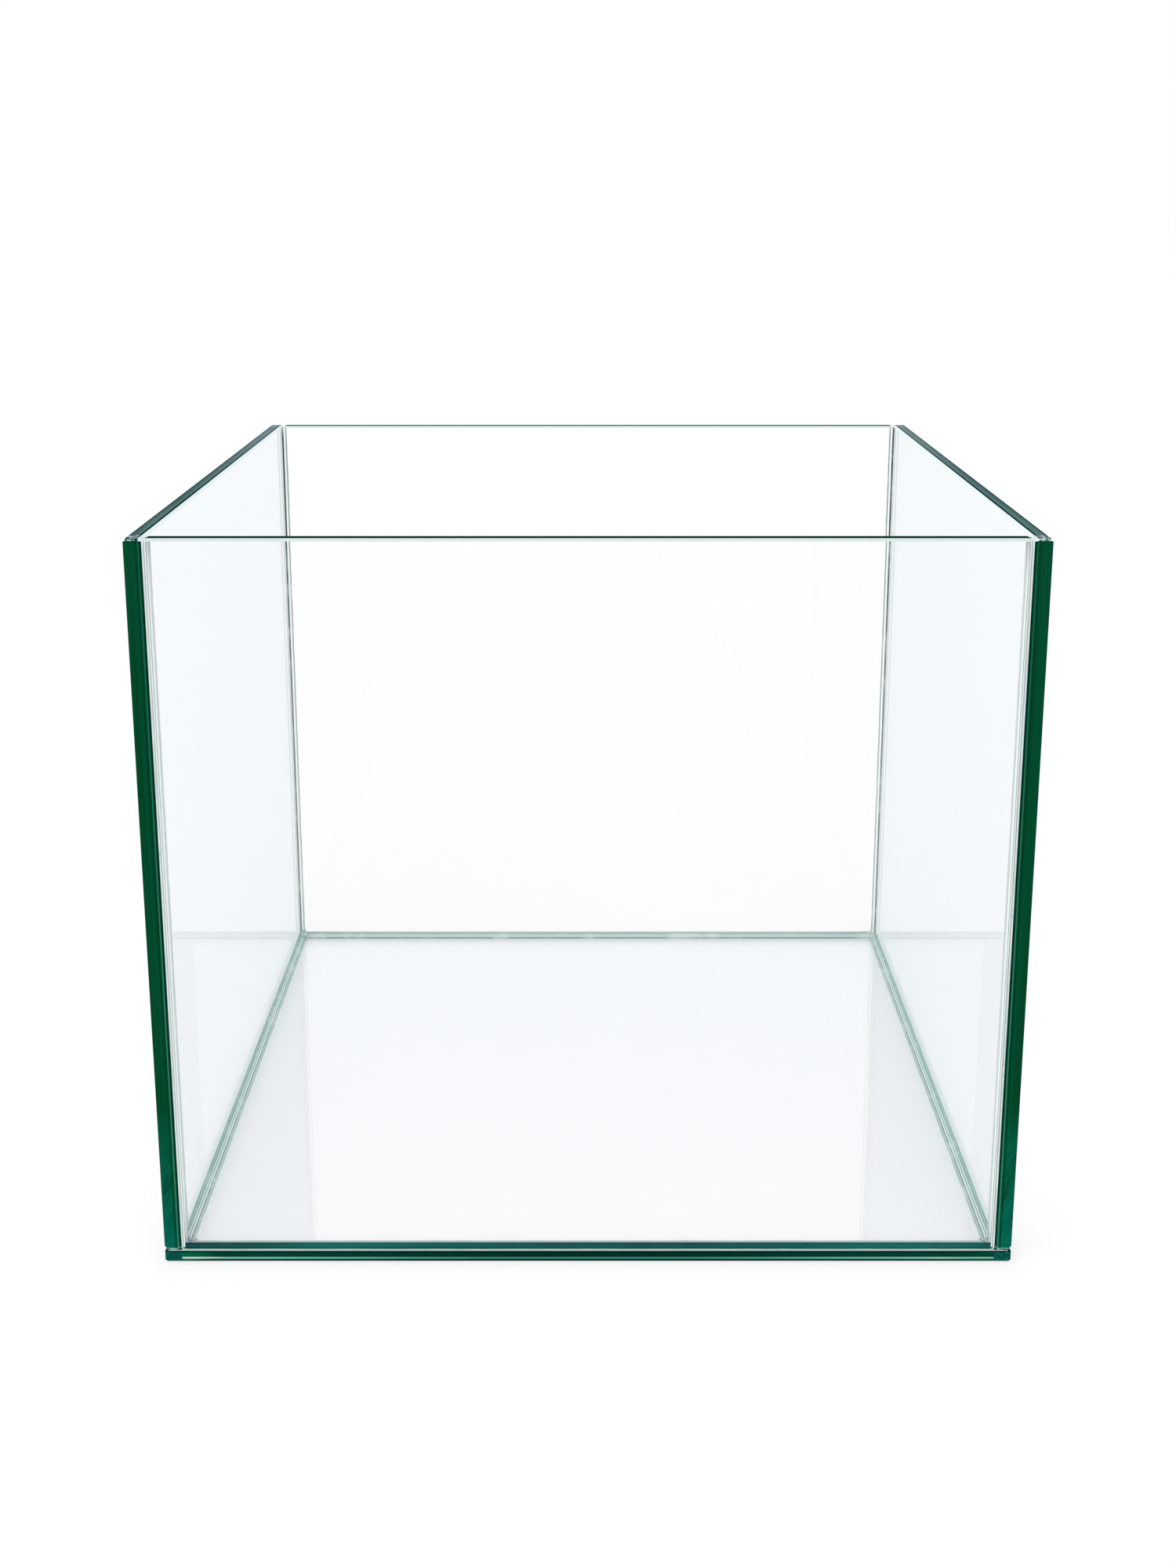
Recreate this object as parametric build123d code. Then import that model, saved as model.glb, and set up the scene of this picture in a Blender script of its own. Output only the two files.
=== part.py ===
from build123d import *

import os

# An open-topped glass aquarium without a rim: five sheets of clear float glass, glued edge to edge with
# clear silicone and sealed inside with tooled beads of the same silicone.
# X runs to the right along the front pane, Y towards the back pane and Z up. The origin is the middle of
# the underside. All sizes are in millimetres.

# Overall sizes of the glued tank
outer_width = 300.0
outer_depth = 300.0
outer_height = 260.0

# Glass: the walls are cut from a thicker sheet than the bottom
wall_glass = 6.0
base_glass = 4.0
wall_arris = 0.9  # flat ground along every edge of a wall, so that it can be handled
base_arris = 0.5  # the same on the bottom sheet

# Silicone: the glue between two sheets, and the beads tooled into the inside corners
glue_gap = 0.6
corner_bead_leg = 2.2
corner_bead_hollow = 0.4  # how far the tooled face dips behind a straight line from leg to leg
floor_bead_leg = 2.4
floor_bead_hollow = 0.45

# The walls stand on the base. The side walls run the whole depth, and the front and back walls sit
# between them, a layer of glue away at each end.
wall_foot = base_glass + glue_gap
wall_height = outer_height - wall_foot
inner_x = outer_width / 2 - wall_glass  # inside face of the right wall
inner_y = outer_depth / 2 - wall_glass  # inside face of the back wall
cross_wall_width = 2 * (inner_x - glue_gap)

# The glue stops short of the outside face, where the ground edge begins, and reaches the inside face
glue_depth = wall_glass - wall_arris
side_glue_x = inner_x + glue_depth / 2
cross_glue_y = inner_y + glue_depth / 2
corner_glue_x = inner_x - glue_gap / 2


def sheet(width, depth, height, x, y, foot, arris):
    """A sheet of glass standing on the height foot, with an arris ground along all twelve edges."""
    blank = Pos(x, y, foot) * Box(width, depth, height, align=(Align.CENTER, Align.CENTER, Align.MIN))
    return chamfer(blank.edges(), arris)


def glue(width, depth, height, x, y, foot):
    """A layer of silicone pressed flat between two sheets."""
    return Pos(x, y, foot) * Box(width, depth, height, align=(Align.CENTER, Align.CENTER, Align.MIN))


def bead_profile(plane, leg, hollow):
    """The section of a tooled bead: two legs along the plane's own X and Y, closed by a hollow arc."""
    along_first = (leg, 0)
    along_second = (0, leg)
    outline = Curve() + [
        Line((0, 0), along_first),
        SagittaArc(along_first, along_second, hollow),
        Line(along_second, (0, 0)),
    ]
    return plane * make_face(outline.edges())


def floor_bead(direction, half_span, wall):
    """A bead along one wall at the floor, mitred at 45 degrees where it meets the next wall's bead.

    The direction points along the wall, and the profile's own X points into the tank.
    """
    inward = direction.rotate(Axis.Z, 90)
    start = inward * -wall - direction * half_span + Vector(0, 0, base_glass)
    section = bead_profile(Plane(start, x_dir=inward, z_dir=direction), floor_bead_leg, floor_bead_hollow)
    run = extrude(section, 2 * half_span)
    mitre = Plane(start, x_dir=direction, z_dir=(0, 0, 1)) * make_face(
        Polyline(
            (0, 0),
            (2 * half_span, 0),
            (2 * half_span - floor_bead_leg, floor_bead_leg),
            (floor_bead_leg, floor_bead_leg),
            close=True,
        )
    )
    return run & extrude(mitre, floor_bead_leg)


def corner_bead(side, end):
    """A bead up one inside corner, from the floor to the ground edge of the rim."""
    corner = Vector(side * inner_x, end * inner_y, base_glass)
    into_tank = Vector(-side, 0, 0)
    upright = side * end
    section = bead_profile(
        Plane(corner, x_dir=into_tank, z_dir=(0, 0, upright)), corner_bead_leg, corner_bead_hollow
    )
    return extrude(section, upright * (outer_height - wall_arris - base_glass))


parts = {}

# Glass
parts["base_pane"] = sheet(outer_width, outer_depth, base_glass, 0, 0, 0, base_arris)
for name, end in (("front", -1), ("back", 1)):
    wall_y = end * (inner_y + wall_glass / 2)
    parts[f"{name}_pane"] = sheet(
        cross_wall_width, wall_glass, wall_height, 0, wall_y, wall_foot, wall_arris
    )
for name, side in (("left", -1), ("right", 1)):
    wall_x = side * (inner_x + wall_glass / 2)
    parts[f"{name}_pane"] = sheet(
        wall_glass, outer_depth, wall_height, wall_x, 0, wall_foot, wall_arris
    )

# Glue between the base and each wall
for name, end in (("front", -1), ("back", 1)):
    parts[f"{name}_base_bond"] = glue(2 * inner_x, glue_depth, glue_gap, 0, end * cross_glue_y, base_glass)
for name, side in (("left", -1), ("right", 1)):
    parts[f"{name}_base_bond"] = glue(
        glue_depth, outer_depth - 2 * wall_arris, glue_gap, side * side_glue_x, 0, base_glass
    )

# Beads round the floor, each sealing one wall to the base
floor_beads = {
    "front": floor_bead(Vector(1, 0, 0), inner_x, inner_y),
    "right": floor_bead(Vector(0, 1, 0), inner_y, inner_x),
    "back": floor_bead(Vector(-1, 0, 0), inner_x, inner_y),
    "left": floor_bead(Vector(0, -1, 0), inner_y, inner_x),
}
for name, bead in floor_beads.items():
    parts[f"{name}_floor_seal"] = bead

# Glue up each corner between the end of a cross wall and the side wall, and the bead that seals it.
# The bead comes down onto the two floor beads that meet there.
for end_name, end in (("front", -1), ("back", 1)):
    for side_name, side in (("left", -1), ("right", 1)):
        corner = f"{end_name}_{side_name}"
        parts[f"{corner}_bond"] = glue(
            glue_gap, glue_depth, wall_height - wall_arris, side * corner_glue_x, end * cross_glue_y, wall_foot
        )
        parts[f"{corner}_seal"] = corner_bead(side, end) - floor_beads[end_name] - floor_beads[side_name]

os.makedirs("parts", exist_ok=True)
for name, shape in parts.items():
    export_step(shape, f"parts/{name}.step")
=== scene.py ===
import bpy
import math
import numpy as np
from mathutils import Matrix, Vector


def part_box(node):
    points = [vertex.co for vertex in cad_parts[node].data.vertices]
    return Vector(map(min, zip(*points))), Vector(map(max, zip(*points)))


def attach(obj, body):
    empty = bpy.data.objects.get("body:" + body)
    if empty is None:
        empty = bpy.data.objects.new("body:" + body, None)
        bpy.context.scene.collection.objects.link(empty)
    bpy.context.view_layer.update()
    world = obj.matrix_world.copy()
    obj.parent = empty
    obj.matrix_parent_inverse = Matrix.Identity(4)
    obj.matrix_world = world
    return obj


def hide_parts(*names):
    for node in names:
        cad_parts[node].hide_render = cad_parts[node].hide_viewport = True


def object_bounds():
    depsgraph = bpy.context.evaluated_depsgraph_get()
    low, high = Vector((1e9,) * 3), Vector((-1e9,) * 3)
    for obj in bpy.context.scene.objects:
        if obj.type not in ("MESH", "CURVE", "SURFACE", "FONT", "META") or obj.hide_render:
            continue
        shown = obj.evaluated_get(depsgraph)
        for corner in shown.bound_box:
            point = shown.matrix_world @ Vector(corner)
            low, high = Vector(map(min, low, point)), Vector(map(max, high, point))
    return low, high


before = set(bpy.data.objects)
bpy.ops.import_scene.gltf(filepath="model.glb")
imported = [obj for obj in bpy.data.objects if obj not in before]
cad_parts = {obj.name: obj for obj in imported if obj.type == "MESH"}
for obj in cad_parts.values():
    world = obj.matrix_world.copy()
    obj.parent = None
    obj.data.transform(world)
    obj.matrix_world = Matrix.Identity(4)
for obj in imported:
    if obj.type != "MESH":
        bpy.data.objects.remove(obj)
cad_low, cad_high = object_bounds()

# The bottom sheet: 4 mm float glass under all four walls. Its two faces are as the float left them. Its
# edge is ground flat between two narrow arrises and looks deep green, because the light that leaves it
# has come a long way through the iron in the glass.


class Value:
    """A socket's value, so that shader maths reads as arithmetic: each operator adds one Math node, and |
    takes the larger of two."""

    def __init__(self, finish, socket):
        self.finish = finish
        self.socket = socket

    def math(self, operation, *others):
        sockets = dict(enumerate((self, *others)))
        return self.finish.node("ShaderNodeMath", {"operation": operation}, sockets)

    def __add__(self, other):
        return self.math("ADD", other)

    def __sub__(self, other):
        return self.math("SUBTRACT", other)

    def __rsub__(self, other):
        return self.math("MULTIPLY_ADD", -1.0, other)

    def __mul__(self, other):
        return self.math("MULTIPLY", other)

    def __or__(self, other):
        return self.math("MAXIMUM", other)

    def __abs__(self):
        return self.math("ABSOLUTE")

    __radd__ = __add__
    __rmul__ = __mul__

    def above(self, edge, blur):
        """0 well below the edge and 1 well above it, with a smooth step as wide as the blur between."""
        ends = {"Value": self, "From Min": edge - blur / 2, "From Max": edge + blur / 2}
        return self.finish.node("ShaderNodeMapRange", {"interpolation_type": "SMOOTHSTEP"}, ends)

    def below(self, edge, blur):
        """1 well below the edge and 0 well above it."""
        return 1 - self.above(edge, blur)

    def near(self, middle, width, blur):
        """1 within half a width of the middle, and 0 further away than that and the blur."""
        return abs(self - middle).below(width / 2, blur)


class Finish:
    """The nodes of one material, or of the studio's light, written as expressions."""

    def __init__(self, holder):
        holder.use_nodes = True
        self.holder = holder
        self.tree = holder.node_tree
        self.tree.nodes.clear()

    def node(self, kind, settings=None, sockets=None, out=0):
        """Adds a node: its settings first, then a value or a link for each socket. Gives one output."""
        made = self.tree.nodes.new(kind)
        for key, setting in (settings or {}).items():
            setattr(made, key, setting)
        for key, value in (sockets or {}).items():
            if isinstance(value, Value):
                self.tree.links.new(value.socket, made.inputs[key])
            else:
                made.inputs[key].default_value = value
        return Value(self, made.outputs[out]) if made.outputs else None

    def place(self):
        """Where the surface point is in the tank's own frame, as x, y and z in metres."""
        spot = self.node("ShaderNodeTexCoord", out="Object")
        return [self.node("ShaderNodeSeparateXYZ", {}, {0: spot}, out=axis) for axis in range(3)]

    def noise(self, stretch, detail=2.0, turn=(0.0, 0.0, 0.0)):
        """Smooth noise about 0.5, with so many swells a metre along each axis, after a turn."""
        spot = self.node("ShaderNodeTexCoord", out="Object")
        laid = self.node("ShaderNodeMapping", {"vector_type": "TEXTURE"}, {"Vector": spot, "Rotation": turn})
        drawn = self.node("ShaderNodeMapping", {}, {"Vector": laid, "Scale": stretch})
        return self.node("ShaderNodeTexNoise", {}, {"Vector": drawn, "Scale": 1.0, "Detail": detail})

    def paint(self, ground, *coats):
        """A ground colour with coats laid over it in turn, each a share from 0 to 1 and a colour."""
        for share, coat in coats:
            mix = {0: share, 6: ground, 7: coat}
            ground = self.node("ShaderNodeMix", {"data_type": "RGBA"}, mix, out=2)
        return ground

    def over(self, share, under, upper):
        """One shader over another, in a share from 0 to 1."""
        return self.node("ShaderNodeMixShader", {}, {0: share, 1: under, 2: upper})

    def ray(self, *kinds):
        """1 for rays of these kinds and 0 for the others."""
        first, *others = [self.node("ShaderNodeLightPath", out=f"Is {kind} Ray") for kind in kinds]
        for other in others:
            first = first | other
        return first

    def done(self, surface, output="ShaderNodeOutputMaterial"):
        self.node(output, {}, {"Surface": surface})
        return self.holder


def colour(red, green, blue):
    """A colour as a screen shows it, 0 to 255 each, as the linear light that shaders take."""
    shown = np.array([red, green, blue]) / 255
    linear = np.where(shown <= 0.04045, shown / 12.92, ((shown + 0.055) / 1.055) ** 2.4)
    return (*linear.tolist(), 1.0)


def float_glass(name, mirror_index):
    """Clear float glass: it bends the light that passes and mirrors a share of it that grows as the face
    turns away. Light on its way to or from matt surfaces goes straight through, as it does on the whole.
    """
    finish = Finish(bpy.data.materials.new(name))
    glass_index = 1.52
    clear = colour(254.5, 254.5, 254.5)
    bend = {"Color": clear, "Roughness": 0.0, "IOR": glass_index}
    through = finish.node("ShaderNodeBsdfRefraction", {}, bend)
    shine = finish.node("ShaderNodeBsdfGlossy", {}, {"Color": colour(225, 236.5, 245), "Roughness": 0.0})
    share = finish.node("ShaderNodeFresnel", {}, {"IOR": mirror_index})
    open_air = finish.node("ShaderNodeBsdfTransparent", {}, {"Color": clear})
    glass = finish.over(share, through, shine)
    return finish.done(finish.over(finish.ray("Shadow", "Diffuse"), glass, open_air))


def ground(finish, tint):
    """A ground edge: matt, with the fine pits of the wheel, and without shine."""
    pit_depth = 0.00001
    pits = finish.noise((9000.0, 9000.0, 9000.0))
    bump = finish.node("ShaderNodeBump", {}, {"Height": pits, "Distance": pit_depth, "Strength": 0.5})
    roughness = 0.35 + pits * 0.3
    sockets = {"Base Color": tint, "Roughness": roughness, "Normal": bump, "Specular IOR Level": 0.0}
    return finish.done(finish.node("ShaderNodeBsdfPrincipled", {}, sockets))


def skin(name, rings, finishes, slots=0, across=None):
    """A closed skin over rings of points: quads from ring to ring, and a flat cap on the first and last.

    slots gives the finish of each quad along a ring, and across a number for each point of a ring, kept
    as the U of the UV map. The caps have the first finish. With across, a ring's last point is a bead's
    corner, and the two flat sides that meet there have a half, as the caps do.
    """
    rows, around = rings.shape[:2]
    row, spot = np.meshgrid(np.arange(rows - 1), np.arange(around), indexing="ij")
    beside = (spot + 1) % around
    low, high = row * around, (row + 1) * around
    quads = np.stack([low + spot, low + beside, high + beside, high + spot], axis=-1).reshape(-1, 4)
    first = np.arange(around)
    caps = [first[::-1].tolist(), (first + (rows - 1) * around).tolist()]
    mesh = bpy.data.meshes.new(name)
    mesh.from_pydata(rings.reshape(-1, 3), [], quads.tolist() + caps)
    for finish in finishes:
        mesh.materials.append(finish)
    chosen = np.zeros(len(quads) + 2, np.int32)
    chosen[:-2] = np.broadcast_to(slots, (rows - 1, around)).ravel()
    mesh.polygons.foreach_set("material_index", chosen)
    if across is not None:
        start, end = across[spot].ravel(), across[beside].ravel()
        flat_side = (spot >= around - 2).ravel()
        start[flat_side] = end[flat_side] = 0.5
        sides = np.stack([start, end, end, start], axis=-1).ravel()
        shares = np.zeros((len(mesh.loops), 2), np.float32)
        shares[:, 0] = np.concatenate([sides, np.full(2 * around, 0.5)])
        mesh.uv_layers.new(name="across").data.foreach_set("uv", shares.ravel())
    return mesh


def dress(name, mesh, node):
    """Puts a finished mesh in the scene in place of the plain solid of that node."""
    piece = bpy.data.objects.new(name, mesh)
    bpy.context.scene.collection.objects.link(piece)
    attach(piece, "root")
    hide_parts(node)


base_corner = 0.0011
base_arris = 0.0005
quarter_steps = 5


def ground_sheet(name, node, thin, corner, arris, face, end, top=None, foot=None):
    """A cut sheet: a rounded rectangle carried through the glass, set in by the arris at both faces.

    Its outline is centre + (corner - inset) * (cos a, sin a), as a runs once round and the centre jumps
    from corner to corner. thin is the axis through the glass, and corner the rounding's radius.
    """
    low, high = map(np.array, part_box(node))
    broad = [(thin + 1) % 3, (thin + 2) % 3]
    turn = np.arange(4)[:, None] * np.pi / 2 + np.linspace(0, np.pi / 2, quarter_steps)
    way = np.stack([np.cos(turn), np.sin(turn)], axis=-1).reshape(-1, 2)
    signs = np.array([[1, 1], [-1, 1], [-1, -1], [1, -1]]).repeat(quarter_steps, axis=0)
    middle, half = (high + low)[broad] / 2, (high - low)[broad] / 2
    insets = np.array([arris, 0, 0, arris])
    rings = np.empty((4, len(way), 3))
    rings[:, :, broad] = middle + signs * (half - corner) + (corner - insets)[:, None, None] * way
    rings[:, :, thin] = np.array([low[thin], low[thin] + arris, high[thin] - arris, high[thin]])[:, None]
    facing = np.zeros((len(way), 3))
    facing[:, broad] = way + np.roll(way, -1, axis=0)
    end_slot, top_slot, foot_slot = 1, 2, 3
    slots = np.select([facing[:, 2] > 1, facing[:, 2] < -1], [top_slot, foot_slot], end_slot)
    finishes = [face, end] + ([top, foot] if top else [])
    dress(name, skin(name, rings, finishes, slots), node)


base_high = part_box("base_pane")[1]
side_low, side_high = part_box("right_pane")
inner_x = side_low.x
inner_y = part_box("back_pane")[0].y
wall_glass = side_high.x - side_low.x
base_glass = base_high.z
top_z = side_high.z


def base_edge():
    """Dark green, with a painted light line along it where the eye sees past the edge to the far side of the
    sheet. The painted line is brighter towards the corners. Under the ends of the side walls it is lost, and
    small facets show instead, with painted glints on them.
    """
    finish = Finish(bpy.data.materials.new("base_ground_edge"))
    x, y, z = finish.place()
    from_middle = abs(x) + abs(y) - base_high.x
    under_wall = 0.0006
    block = abs(x).above(inner_x - under_wall / 2, under_wall)
    block = block * abs(y).above(inner_y - under_wall / 2, under_wall)
    stretches = finish.noise((35.0, 35.0, 300.0))
    facets = finish.noise((420.0, 420.0, 900.0), 3.0, (0.0, 0.6, 0.3))
    line_height, line_width = 0.0015, 0.0006
    painted_light_line = z.near(line_height, line_width, 0.0004)
    tint = finish.paint(
        colour(4, 46, 35),
        (from_middle.above(0.07, 0.1), colour(3, 60, 45)),
        (from_middle.above(0.135, 0.012) * stretches.above(0.45, 0.2), colour(2, 96, 66)),
        # Painted light: the line where the eye sees past the edge, brighter towards the corners.
        (painted_light_line, colour(66, 140, 128)),
        (painted_light_line * from_middle.above(0.08, 0.1), colour(124, 188, 174)),
        (painted_light_line * from_middle.above(0.12, 0.03) * stretches.above(0.5, 0.2), colour(206, 214, 210)),
        (block, colour(8, 76, 66)),
        (block * facets.above(0.56, 0.08), colour(14, 98, 86)),
        # Painted glints on the facets.
        (block * facets.above(0.68, 0.04), colour(126, 186, 172)),
        (z.above(base_glass - 0.0004, 0.0003), colour(2, 36, 27)),
        (z.below(0.0004, 0.0004), colour(4, 50, 42)),
    )
    return ground(finish, tint)


base_face = float_glass("base_float_face", mirror_index=1.5)
ground_sheet("base_sheet", "base_pane", 2, base_corner, base_arris, base_face, base_edge())

# The two side walls: 6 mm float glass, running the whole depth, so that their ground front and back edges
# show at the corners as deep green strips. The rims along their tops are painted blue-grey: a painted
# sheen, for the light they catch at a grazing angle.

wall_corner = 0.0012
wall_arris = 0.0009
wall_middle_x = inner_x + wall_glass / 2
ground_half = wall_glass / 2 - wall_arris


def upright_edge():
    """Deep green, in faint upright bands, with a bright line where the inner arris begins, and the arris
    nearly black. Low down it brightens, and soft slanting marks of the wheel show.
    """
    finish = Finish(bpy.data.materials.new("side_wall_upright_edge"))
    x, _, z = finish.place()
    inward = wall_middle_x - abs(x)
    low = z.below(0.048, 0.03)
    bands = finish.noise((800.0, 800.0, 7.0))
    marks = finish.noise((1900.0, 1900.0, 170.0), 2.0, (0.0, 0.5, 0.0))
    patches = finish.noise((160.0, 160.0, 50.0), 2.0, (0.0, 0.45, 0.0))
    arris_line = inward.near(ground_half, 0.0003, 0.0003)
    tint = finish.paint(
        colour(4, 66, 39),
        (bands.above(0.52, 0.3), colour(3, 72, 45)),
        (bands.below(0.42, 0.2), colour(5, 62, 36)),
        (z.above(0.23, 0.04) * 0.5, colour(7, 74, 47)),
        (low, colour(4, 90, 64)),
        (low * patches.above(0.5, 0.3), colour(4, 70, 50)),
        (low * marks.above(0.58, 0.24) * 0.6, colour(12, 108, 84)),
        (z.below(0.016, 0.024) * 0.6, colour(6, 104, 90)),
        (inward.near(0.0013, 0.0005, 0.0005), colour(1, 56, 35)),
        (arris_line, colour(24, 96, 72)),
        (arris_line * z.below(0.16, 0.2), colour(62, 124, 102)),
        (inward.above(ground_half + 0.0004, 0.0003), colour(2, 46, 33)),
        (inward.below(-ground_half - 0.0007, 0.0003), colour(20, 74, 56)),
        (z.above(top_z - 0.0008, 0.0004), colour(2, 42, 30)),
    )
    return ground(finish, tint)


def side_rim():
    """Blue-grey, a painted sheen, with a dark line along the outside, a darker one along the inside and pale
    arrises, which are painted highlights. It pales towards the back, a painted reflection, and has pale
    specks near its front and back ends.
    """
    finish = Finish(bpy.data.materials.new("side_wall_rim"))
    x, y, _ = finish.place()
    inward = wall_middle_x - abs(x)
    clouds = finish.noise((300.0, 22.0, 300.0))
    specks = finish.noise((900.0, 900.0, 900.0))
    # Painted reflection: the rim pales towards the back, where the eye meets it at a more grazing angle.
    pale = y.above(0.06, 0.24)
    outer_line, inner_line = inward.below(-0.0013, 0.0008), inward.above(0.0012, 0.0006)
    tint = finish.paint(
        # Painted sheen: the blue-grey ground colour of the rim.
        colour(72, 100, 100),
        (y.below(-0.09, 0.08), colour(78, 108, 105)),
        (clouds.above(0.55, 0.2), colour(66, 92, 94)),
        (inward.near(0.0006, 0.0005, 0.0009), colour(94, 123, 124)),
        (pale, colour(114, 136, 141)),
        (outer_line, colour(44, 68, 69)),
        (inner_line, colour(16, 40, 43)),
        ((outer_line | inner_line) * pale, colour(82, 102, 107)),
        (abs(y).above(cad_high.y - 0.006, 0.003) * specks.above(0.55, 0.06), colour(188, 202, 200)),
        # Painted highlights on the arrises.
        (abs(inward).above(ground_half, 0.0002), colour(228, 240, 241)),
    )
    return ground(finish, tint)


def side_foot():
    """The underside of a side wall, wetted by the glue and pale grey-green."""
    finish = Finish(bpy.data.materials.new("side_wall_foot"))
    clouds = finish.noise((60.0, 60.0, 60.0))
    tint = finish.paint(colour(128, 180, 168), (clouds.above(0.5, 0.3), colour(152, 192, 184)))
    return ground(finish, tint)


wall_face = float_glass("wall_float_face", mirror_index=1.26)
strip, rim_sheen, pale_foot = upright_edge(), side_rim(), side_foot()
for hand in ("left", "right"):
    cut = (0, wall_corner, wall_arris)
    ground_sheet(f"{hand}_sheet", f"{hand}_pane", *cut, wall_face, strip, rim_sheen, pale_foot)

# The front and back walls: 6 mm float glass between the side walls. Only their rims and feet show as
# ground edges. Their ends are buried in the glue of the corners.

wall_middle_y = inner_y + wall_glass / 2


def cross_rim():
    """Very dark green down the middle of the flat and grey along its edges, with pale arrises, which are
    painted highlights. The back wall's is painted blue-grey all over: a painted sheen, as the eye meets it
    at a more grazing angle.
    """
    finish = Finish(bpy.data.materials.new("cross_wall_rim"))
    y = finish.place()[1]
    outward = abs(abs(y) - wall_middle_y)
    along = finish.noise((18.0, 300.0, 300.0))
    tint = finish.paint(
        colour(8, 38, 30),
        (along.above(0.5, 0.3), colour(5, 28, 21)),
        (outward.above(ground_half - 0.0006, 0.0006), colour(92, 116, 111)),
        # Painted sheen: the back wall's rim is painted blue-grey.
        (y.above(0, 0.1), colour(62, 82, 84)),
        # Painted highlights on the arrises.
        (outward.above(ground_half, 0.0002), colour(206, 219, 216)),
    )
    return ground(finish, tint)


def cross_foot():
    """The underside of the front or back wall: a teal band, brighter in stretches, and pale at the back."""
    finish = Finish(bpy.data.materials.new("cross_wall_foot"))
    y = finish.place()[1]
    along = finish.noise((14.0, 60.0, 60.0))
    tint = finish.paint(
        colour(6, 76, 72),
        (along.above(0.5, 0.25), colour(8, 98, 90)),
        (y.above(0, 0.1), colour(172, 188, 187)),
    )
    return ground(finish, tint)


def glued_end(name, body, spots):
    """The end of a cross wall, behind glue: a plain ground edge with small spots that the glue missed.
    Its arrises are white, with a grey line where they meet the flat.
    """
    finish = Finish(bpy.data.materials.new(name))
    y = finish.place()[1]
    missed = finish.noise((500.0, 500.0, 120.0), 3.0)
    from_face = ground_half + wall_arris - abs(abs(y) - wall_middle_y)
    tint = finish.paint(
        body,
        (missed.above(0.62, 0.06), spots),
        (from_face.below(wall_arris, 0.0002), colour(176, 187, 188)),
        (from_face.below(wall_arris - 0.0004, 0.0002), colour(246, 253, 253)),
    )
    return ground(finish, tint)


green_rim, teal_foot = cross_rim(), cross_foot()
# The front ends are painted nearly white: painted light, for the white surround seen through the glue.
front_end = glued_end("front_wall_glued_end", colour(248, 252, 252), colour(216, 224, 222))
back_end = glued_end("back_wall_glued_end", colour(34, 66, 60), colour(96, 130, 122))
for end, glued in (("front", front_end), ("back", back_end)):
    cut = (1, wall_corner, wall_arris)
    ground_sheet(f"{end}_sheet", f"{end}_pane", *cut, wall_face, glued, green_rim, teal_foot)

# The glue: clear silicone squeezed to 0.6 mm between the sheets, four layers under the walls and four up
# the corners. Its outer edge wanders a little and is drawn in hollow, as the squeezed bead skinned over.

hair = 0.00002  # the least gap between two pieces
edge_hollow = 0.00012
edge_wander = 0.00016
rings_along = 161
steps_through = 7


def wander(run, start):
    """An uneven hand, from -1 to 1 along a run in metres: three sine waves that never fall in step.

    Each wave is its height, its turns in radians a metre, and how far the start puts it ahead.
    """
    waves = ((1, 210, 1), (1, 487, 2.3), (0.5, 1130, 1))
    hand = sum(height * np.sin(rate * run + ahead * start) for height, rate, ahead in waves)
    return hand / sum(height for height, rate, ahead in waves)


def glue_layer(name, node, thin, wide, out, material):
    """A thin slab whose outer edge is at wide = w - wander - hollow * sin(pi t), for t from face to face.

    thin and wide are the axes through and across the layer, and out is the sign of its outer edge. Each
    layer wanders from its own start, which its place along the thin axis gives.
    """
    low, high = map(np.array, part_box(node))
    long = 3 - thin - wide
    run = np.linspace(low[long] + hair, high[long] - hair, rings_along)
    through = np.linspace(0, 1, steps_through)
    outer, inner = (high[wide], low[wide]) if out > 0 else (low[wide], high[wide])
    own_start = low[thin] * 900
    drawn_in = edge_wander * (1 + wander(run, own_start))[:, None]
    edge = outer - out * (drawn_in + edge_hollow * np.sin(np.pi * through))
    rings = np.empty((len(run), len(through) + 2, 3))
    rings[:, :, long] = run[:, None]
    rings[:, :-2, wide] = edge
    rings[:, -2:, wide] = inner + out * hair
    levels = low[thin] + hair + (high[thin] - low[thin] - 2 * hair) * np.append(through, [1, 0])
    rings[:, :, thin] = levels
    right_handed = (long, wide, thin) in ((0, 1, 2), (1, 2, 0), (2, 0, 1))
    layer = skin(name, rings[:: 1 if right_handed == (out > 0) else -1], [material])
    dress(name, layer, node)


def clear_glue(name, body, cloud):
    """Clear silicone in a thin layer: pale, a little cloudy, with a few bubbles as small as a pinhead. At
    the ends of the side walls, where the layer sits back in a recess, it is painted dark green as painted
    shade, with pale flakes of glue on it.
    """
    finish = Finish(bpy.data.materials.new(name))
    x, y, z = finish.place()
    spot = finish.node("ShaderNodeTexCoord", out="Object")
    cells = finish.node("ShaderNodeTexVoronoi", {}, {"Vector": spot, "Scale": 260.0}, out="Distance")
    foot_layer_top, shade_reach = base_glass + 0.0008, 0.0022
    # Painted shade: the layer in the recess at the ends of the side walls.
    recess_shade = abs(x).above(inner_x, 0.0004) * abs(y).above(cad_high.y - shade_reach, 0.0012)
    recess_shade = z.below(foot_layer_top, 0.0002) * recess_shade
    flakes = finish.noise((420.0, 420.0, 900.0), 2.0, (0.0, 0.5, 0.0))
    tint = finish.paint(
        body,
        (finish.noise((90.0, 90.0, 90.0)).above(0.5, 0.3), cloud),
        (cells.near(0.13, 0.03, 0.03), colour(150, 176, 170)),
        (recess_shade, colour(6, 70, 60)),
        (recess_shade * flakes.above(0.55, 0.06), colour(150, 196, 186)),
    )
    sockets = {"Base Color": tint, "Roughness": 0.22, "Specular IOR Level": 0.06, "Alpha": 0.94}
    return finish.done(finish.node("ShaderNodeBsdfPrincipled", {}, sockets))


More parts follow.
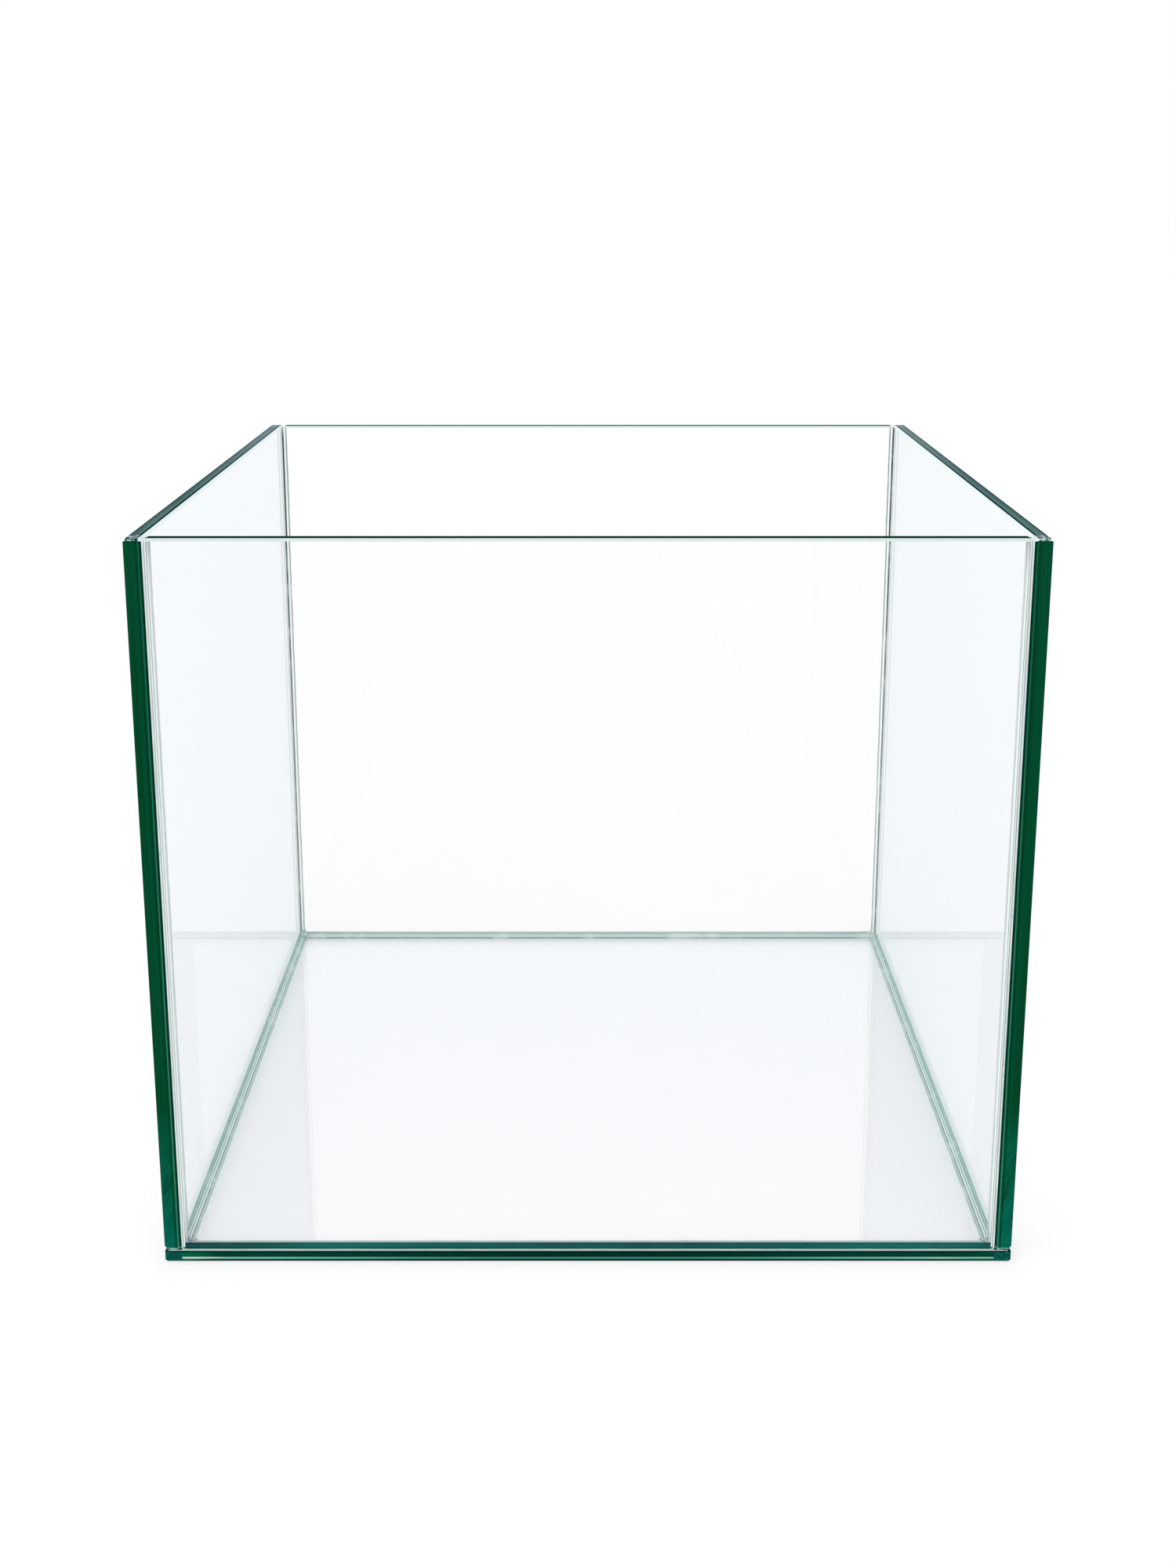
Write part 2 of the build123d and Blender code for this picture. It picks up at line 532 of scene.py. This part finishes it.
foot_glue = clear_glue("foot_glue", colour(158, 212, 202), colour(190, 230, 222))
corner_glue = clear_glue("corner_glue", colour(240, 249, 249), colour(226, 238, 238))
for end, out in (("front", -1), ("back", 1)):
    glue_layer(f"{end}_foot_glue", f"{end}_base_bond", 2, 1, out, foot_glue)
    for hand in ("left", "right"):
        glue_layer(f"{end}_{hand}_glue", f"{end}_{hand}_bond", 0, 1, out, corner_glue)
for hand, out in (("left", -1), ("right", 1)):
    glue_layer(f"{hand}_foot_glue", f"{hand}_base_bond", 2, 0, out, foot_glue)

# The floor beads: clear silicone run into the angle between each wall and the floor, and drawn hollow
# with a fingertip. They turn the corners in a small round, where they rise into the upright beads.

bead_leg = 0.0022
upright_leg = 0.0022
finger = 0.003  # the radius of the rounds in the corners
dip = 0.13  # how far the arc falls behind a straight line, as a share of the leg
arc_steps = 15
bead_wander = 0.03
floor_rings = 181
floor_z = base_glass
mitre = bead_leg + finger * (1 - math.sqrt(0.5))

# A section is the share of the way across, from the floor up, and the ways in from the wall and up from
# the floor, as shares of the leg. One with a shade film has a thin film on the floor beyond the foot, which
# carries the bead's painted shade.
share = np.linspace(0, 1, arc_steps)
pull = dip * np.sin(np.pi * share)
bare = np.stack([share, 1 - share - pull, share - pull])
shade_film = np.array([[-0.3, -0.15], [1.8, 1.4], [0.0, 0.01]])
with_shade_film = np.hstack([shade_film, np.stack([bare[0], bare[1], np.maximum(bare[2], 0.01)])])


def rounding(distance, neighbour):
    """How much further a bead's edge stands out near the next bead: a quarter circle, r - sqrt(r2 - x2),
    that starts at the neighbour's own edge."""
    reach = np.clip(distance - neighbour, 0, finger)
    return finger - np.sqrt(finger**2 - (finger - reach) ** 2)


def foot_out(along):
    """How far the bead's edge on the floor is from its wall, at a distance along from the next wall."""
    return bead_leg + rounding(np.maximum(along, mitre), bead_leg)


def foot_up(along):
    """How high the bead's edge on its wall is above the floor, at a distance along from the next wall."""
    return bead_leg + rounding(along, upright_leg)


def clear_bead(name, body, cover, lines, fade=0.0):
    """Clear silicone in a bead: nearly white, with painted lines along it, which stand in for the light its
    hollow bends away and for the dark edges seen through it. Fine bubbles show where the beads run
    together, and a film beyond the foot fades out.

    Each line is its middle and width across the bead, its colour and how far it hides what is behind.
    The lines fade towards the floor by a share, and cover is how far the body hides what is behind.
    """
    finish = Finish(bpy.data.materials.new(name))
    spread = finish.node("ShaderNodeUVMap", {"uv_map": "across"})
    u = finish.node("ShaderNodeSeparateXYZ", {}, {0: spread})
    x, y, z = finish.place()
    uneven = finish.noise((110.0, 110.0, 110.0))
    fade_height, fade_blur = 0.16, 0.2
    kept = 1 - z.below(fade_height, fade_blur) * fade
    tint, hidden = body, cover
    for middle, width, line, strength in lines:
        mask = u.near(middle, width, 0.08) * kept
        tint = finish.paint(tint, (mask, line))
        hidden = (mask * strength) | hidden
    knot_reach, knot_height = 0.005, 0.007
    knot = abs(x).above(inner_x - knot_reach, 0.003) * abs(y).above(inner_y - knot_reach, 0.003)
    knot = knot * z.below(floor_z + knot_height, 0.004)
    bubbles = knot * finish.noise((700.0, 700.0, 700.0)).above(0.58, 0.14)
    tint = finish.paint(
        tint, (uneven.above(0.6, 0.2) * 0.3, colour(236, 246, 244)), (bubbles, colour(160, 188, 184))
    )
    sockets = {"Base Color": tint, "Roughness": 0.12 + uneven * 0.12, "Specular IOR Level": 0.2}
    film_end, film_blur = -0.16, 0.28
    sockets["Alpha"] = ((bubbles * 0.7) | hidden) * u.above(film_end, film_blur)
    return finish.done(finish.node("ShaderNodeBsdfPrincipled", {}, sockets))


def floor_bead(name, node, wall, along, length, section, material):
    """The section carried along the foot of a wall. At both ends it fans round, so that it stops on the
    plane halfway between the two walls, and its edges swell as foot_out and foot_up say.

    wall is the way to the wall from the middle of the floor and along the way it runs, both unit vectors.
    """
    across, ways_in, ways_up = section
    half = length / 2
    place = (half - mitre) * np.sin(np.linspace(-np.pi / 2, np.pi / 2, floor_rings))
    from_end = half - np.abs(place)
    fan_reach = 3 * bead_leg
    fan = np.clip(1 - (from_end - mitre) / fan_reach, 0, 1)[:, None] ** 2
    distance = from_end[:, None] - fan * mitre * (1 - ways_in)
    own_start = 7 * wall[0] + 3 * wall[1]
    uneven = 1 + bead_wander * wander(place, own_start)[:, None] * (1 - fan)
    out = foot_out(from_end)[:, None] * ways_in * uneven
    up = foot_up(distance) * ways_up * uneven
    corner_distance = np.where(fan > 0, distance[:, -1:], from_end[:, None])
    run = np.sign(place)[:, None] * (half - np.hstack([distance, corner_distance]))
    corner = np.full((len(place), 1), hair)
    out, up = np.hstack([out + hair, corner]), np.hstack([up + hair, corner])
    wall_at = (inner_x if wall[0] else inner_y) - out
    flat = run[:, :, None] * np.array(along) + wall_at[:, :, None] * np.array(wall)
    rings = np.concatenate([flat, (floor_z + up)[:, :, None]], axis=2)
    bead = skin(name, rings[::-1], [material], across=np.append(across, 0.5))
    dress(name, bead, node)


side_silicone = clear_bead(
    "side_floor_silicone",
    colour(226, 248, 244),
    0.6,
    [
        (0.92, 0.2, colour(166, 202, 196), 0.85),
        (1.0, 0.06, colour(134, 166, 161), 0.95),
        (0.73, 0.15, colour(108, 144, 139), 0.95),
        (0.4, 0.12, colour(130, 158, 154), 0.95),
        (0.06, 0.13, colour(84, 110, 108), 0.97),
        # The bead's painted shade, on the film beyond the floor foot.
        (-0.2, 0.3, colour(146, 165, 166), 0.72),
    ],
)
back_floor_silicone = clear_bead(
    "back_floor_silicone",
    colour(196, 217, 215),
    0.8,
    [(0.2, 0.24, colour(108, 130, 128), 0.96), (0.93, 0.14, colour(158, 172, 173), 0.95)],
)
front_floor_silicone = clear_bead(
    "front_floor_silicone",
    colour(250, 255, 255),
    0.95,
    [(0.03, 0.06, colour(228, 234, 237), 0.8), (0.5, 0.06, colour(228, 234, 237), 0.7)],
)
floor_bead("front_floor_bead", "front_floor_seal", (0, -1), (-1, 0), 2 * inner_x, bare, front_floor_silicone)
floor_bead("right_floor_bead", "right_floor_seal", (1, 0), (0, -1), 2 * inner_y, with_shade_film, side_silicone)
floor_bead("back_floor_bead", "back_floor_seal", (0, 1), (1, 0), 2 * inner_x, bare, back_floor_silicone)
floor_bead("left_floor_bead", "left_floor_seal", (-1, 0), (0, 1), 2 * inner_y, with_shade_film, side_silicone)

# The upright beads: the same silicone up the four inside corners, drawn up with the fingertip to just
# below the rim. Each stands on the two floor beads that meet under it.

rim_gap = 0.0006
lift_height, lift_taper = 0.0025, 0.2  # where the finger lifts off, the bead thins by this share
upright_rings = 161


def upright_bead(name, node, side, end, material):
    """The hollow arc carried up a corner. Each of its points starts on the floor beads, at the height
    foot_up(e) * arc(d / foot_out(e)), where d and e are its smaller and larger distance from a wall."""
    across, ways_in, ways_up = bare
    out = upright_leg * np.append(ways_in, 0) + hair
    back = upright_leg * np.append(ways_up, 0) + hair
    nearer, further = np.minimum(out, back), np.maximum(out, back)
    start = foot_up(further) * np.interp(nearer / foot_out(further), ways_in[::-1], ways_up[::-1])
    climb = (1 - np.cos(np.linspace(0, np.pi, upright_rings)))[:, None] / 2
    height = floor_z + start + climb * (top_z - rim_gap - floor_z - start)
    own_start = 5 * side + 2 * end
    uneven = 1 + bead_wander * wander(height, own_start)
    lifted = np.clip((height - (top_z - lift_height)) / lift_height, 0, 1)
    size = uneven * (1 - lift_taper * lifted**2)
    rings = np.stack([side * (inner_x - out * size), end * (inner_y - back * size), height], axis=2)
    bead = skin(name, rings[:: side * end], [material], across=np.append(across, 0.5))
    dress(name, bead, node)


front_silicone = clear_bead(
    "front_upright_silicone",
    colour(252, 255, 255),
    0.8,
    [(0.42, 0.15, colour(158, 171, 171), 0.95), (0.1, 0.3, colour(246, 254, 254), 0.9)],
)
back_silicone = clear_bead(
    "back_upright_silicone",
    colour(252, 255, 255),
    0.96,
    [
        (0.98, 0.1, colour(186, 198, 200), 0.96),
        (0.68, 0.38, colour(54, 82, 81), 0.98),
        (0.07, 0.24, colour(146, 160, 162), 0.98),
    ],
    fade=0.2,
)
for end, turned, silicone in (("front", -1, front_silicone), ("back", 1, back_silicone)):
    for hand, side in (("left", -1), ("right", 1)):
        upright_bead(f"{end}_{hand}_bead", f"{end}_{hand}_seal", side, turned, silicone)

# The studio: a white table that runs out to the white surround, two dark cards that only the glass sees,
# a soft light from over the front left, and the eye a little above the rim in front of the tank.

table_reach = 6.0
table_level = -0.0003
table_glow = 0.65  # the share of the table that is white by itself, and takes no shadow


def white_table():
    """White to the eye, also through glass and in its mirror, with a share left matt for the shadow."""
    finish = Finish(bpy.data.materials.new("white_table"))
    grain = finish.noise((3.0, 3.0, 3.0))
    white = finish.paint(colour(247, 247, 247), (grain.above(0.5, 0.4), colour(249, 249, 249)))
    matt = finish.node("ShaderNodeBsdfDiffuse", {}, {"Color": white})
    glow = finish.node("ShaderNodeEmission", {}, {"Color": colour(255, 255, 255), "Strength": 1.0})
    seen = finish.ray("Camera", "Glossy", "Transmission") * table_glow
    return finish.done(finish.over(seen, matt, glow))


spread = np.linspace(-table_reach, table_reach, 3)
table_x, table_y = np.meshgrid(spread, spread, indexing="ij")
table_points = np.stack([table_x, table_y, np.full_like(table_x, table_level)], axis=-1).reshape(-1, 3)
table_mesh = bpy.data.meshes.new("table")
table_mesh.from_pydata(table_points, [], [(0, 3, 4, 1), (3, 6, 7, 4), (1, 4, 5, 2), (4, 7, 8, 5)])
table_mesh.materials.append(white_table())
table = bpy.data.objects.new("table", table_mesh)
bpy.context.scene.collection.objects.link(table)

card_y = 4.0
card_inner = 0.76  # seen in the glass floor, this edge lines up with a back corner of the tank
card_outer = 4.5
card_foot, card_top = 1.0, 4.5


def grey_card(name, side):
    """A dark blue-grey card hung high behind the tank, to one side. Only the glass sees it, as it would
    see the dark sides of a studio: the floor mirrors it through the side wall, up to the back corner."""
    finish = Finish(bpy.data.materials.new(name))
    grain = finish.noise((2.0, 2.0, 2.0))
    grey = finish.paint(colour(52, 118, 152), (grain.above(0.5, 0.4), colour(60, 126, 160)))
    glow = finish.node("ShaderNodeEmission", {}, {"Color": grey, "Strength": 1.0})
    mesh = bpy.data.meshes.new(name)
    spots = [(card_inner, card_foot), (card_outer, card_foot), (card_outer, card_top), (card_inner, card_top)]
    mesh.from_pydata([(side * across, card_y, up) for across, up in spots], [], [(0, 1, 2, 3)])
    mesh.materials.append(finish.done(glow))
    card = bpy.data.objects.new(name, mesh)
    bpy.context.scene.collection.objects.link(card)
    card.visible_camera = card.visible_diffuse = card.visible_shadow = False


grey_card("left_card", -1)
grey_card("right_card", 1)

surround = Finish(bpy.data.worlds.new("surround"))
backdrop = surround.node("ShaderNodeBackground", {}, {"Color": colour(255, 255, 255), "Strength": 1.0})
fill = surround.node("ShaderNodeBackground", {}, {"Color": colour(255, 255, 255), "Strength": 0.85})
surround_seen = surround.ray("Camera", "Glossy", "Transmission")
bpy.context.scene.world = surround.done(
    surround.over(surround_seen, fill, backdrop), "ShaderNodeOutputWorld"
)

lamp = bpy.data.lights.new("soft_light", "SUN")
lamp.energy = 1.0
lamp.angle = math.radians(60)
soft_light = bpy.data.objects.new("soft_light", lamp)
soft_light.rotation_euler = (math.radians(28), math.radians(-14), 0)
soft_light.visible_glossy = False
soft_light.visible_transmission = False
bpy.context.scene.collection.objects.link(soft_light)

eye_distance = 0.6081  # from the front of the tank
eye_height = 0.3711
eye_tilt = math.radians(14.16)
camera = bpy.data.cameras.new("eye")
camera.sensor_width = 36
camera.lens = 44.05
camera.shift_y = -0.075
camera.clip_start = 0.01
eye = bpy.data.objects.new("eye", camera)
eye.location = (0, cad_low.y - eye_distance, eye_height)
eye.rotation_euler = (math.pi / 2 - eye_tilt, 0, 0)
bpy.context.scene.collection.objects.link(eye)
bpy.context.scene.camera = eye

bpy.context.scene.view_settings.view_transform = "Standard"
bounces = bpy.context.scene.cycles
bounces.max_bounces = 32
bounces.transmission_bounces = 32
bounces.glossy_bounces = 16
bounces.transparent_max_bounces = 32
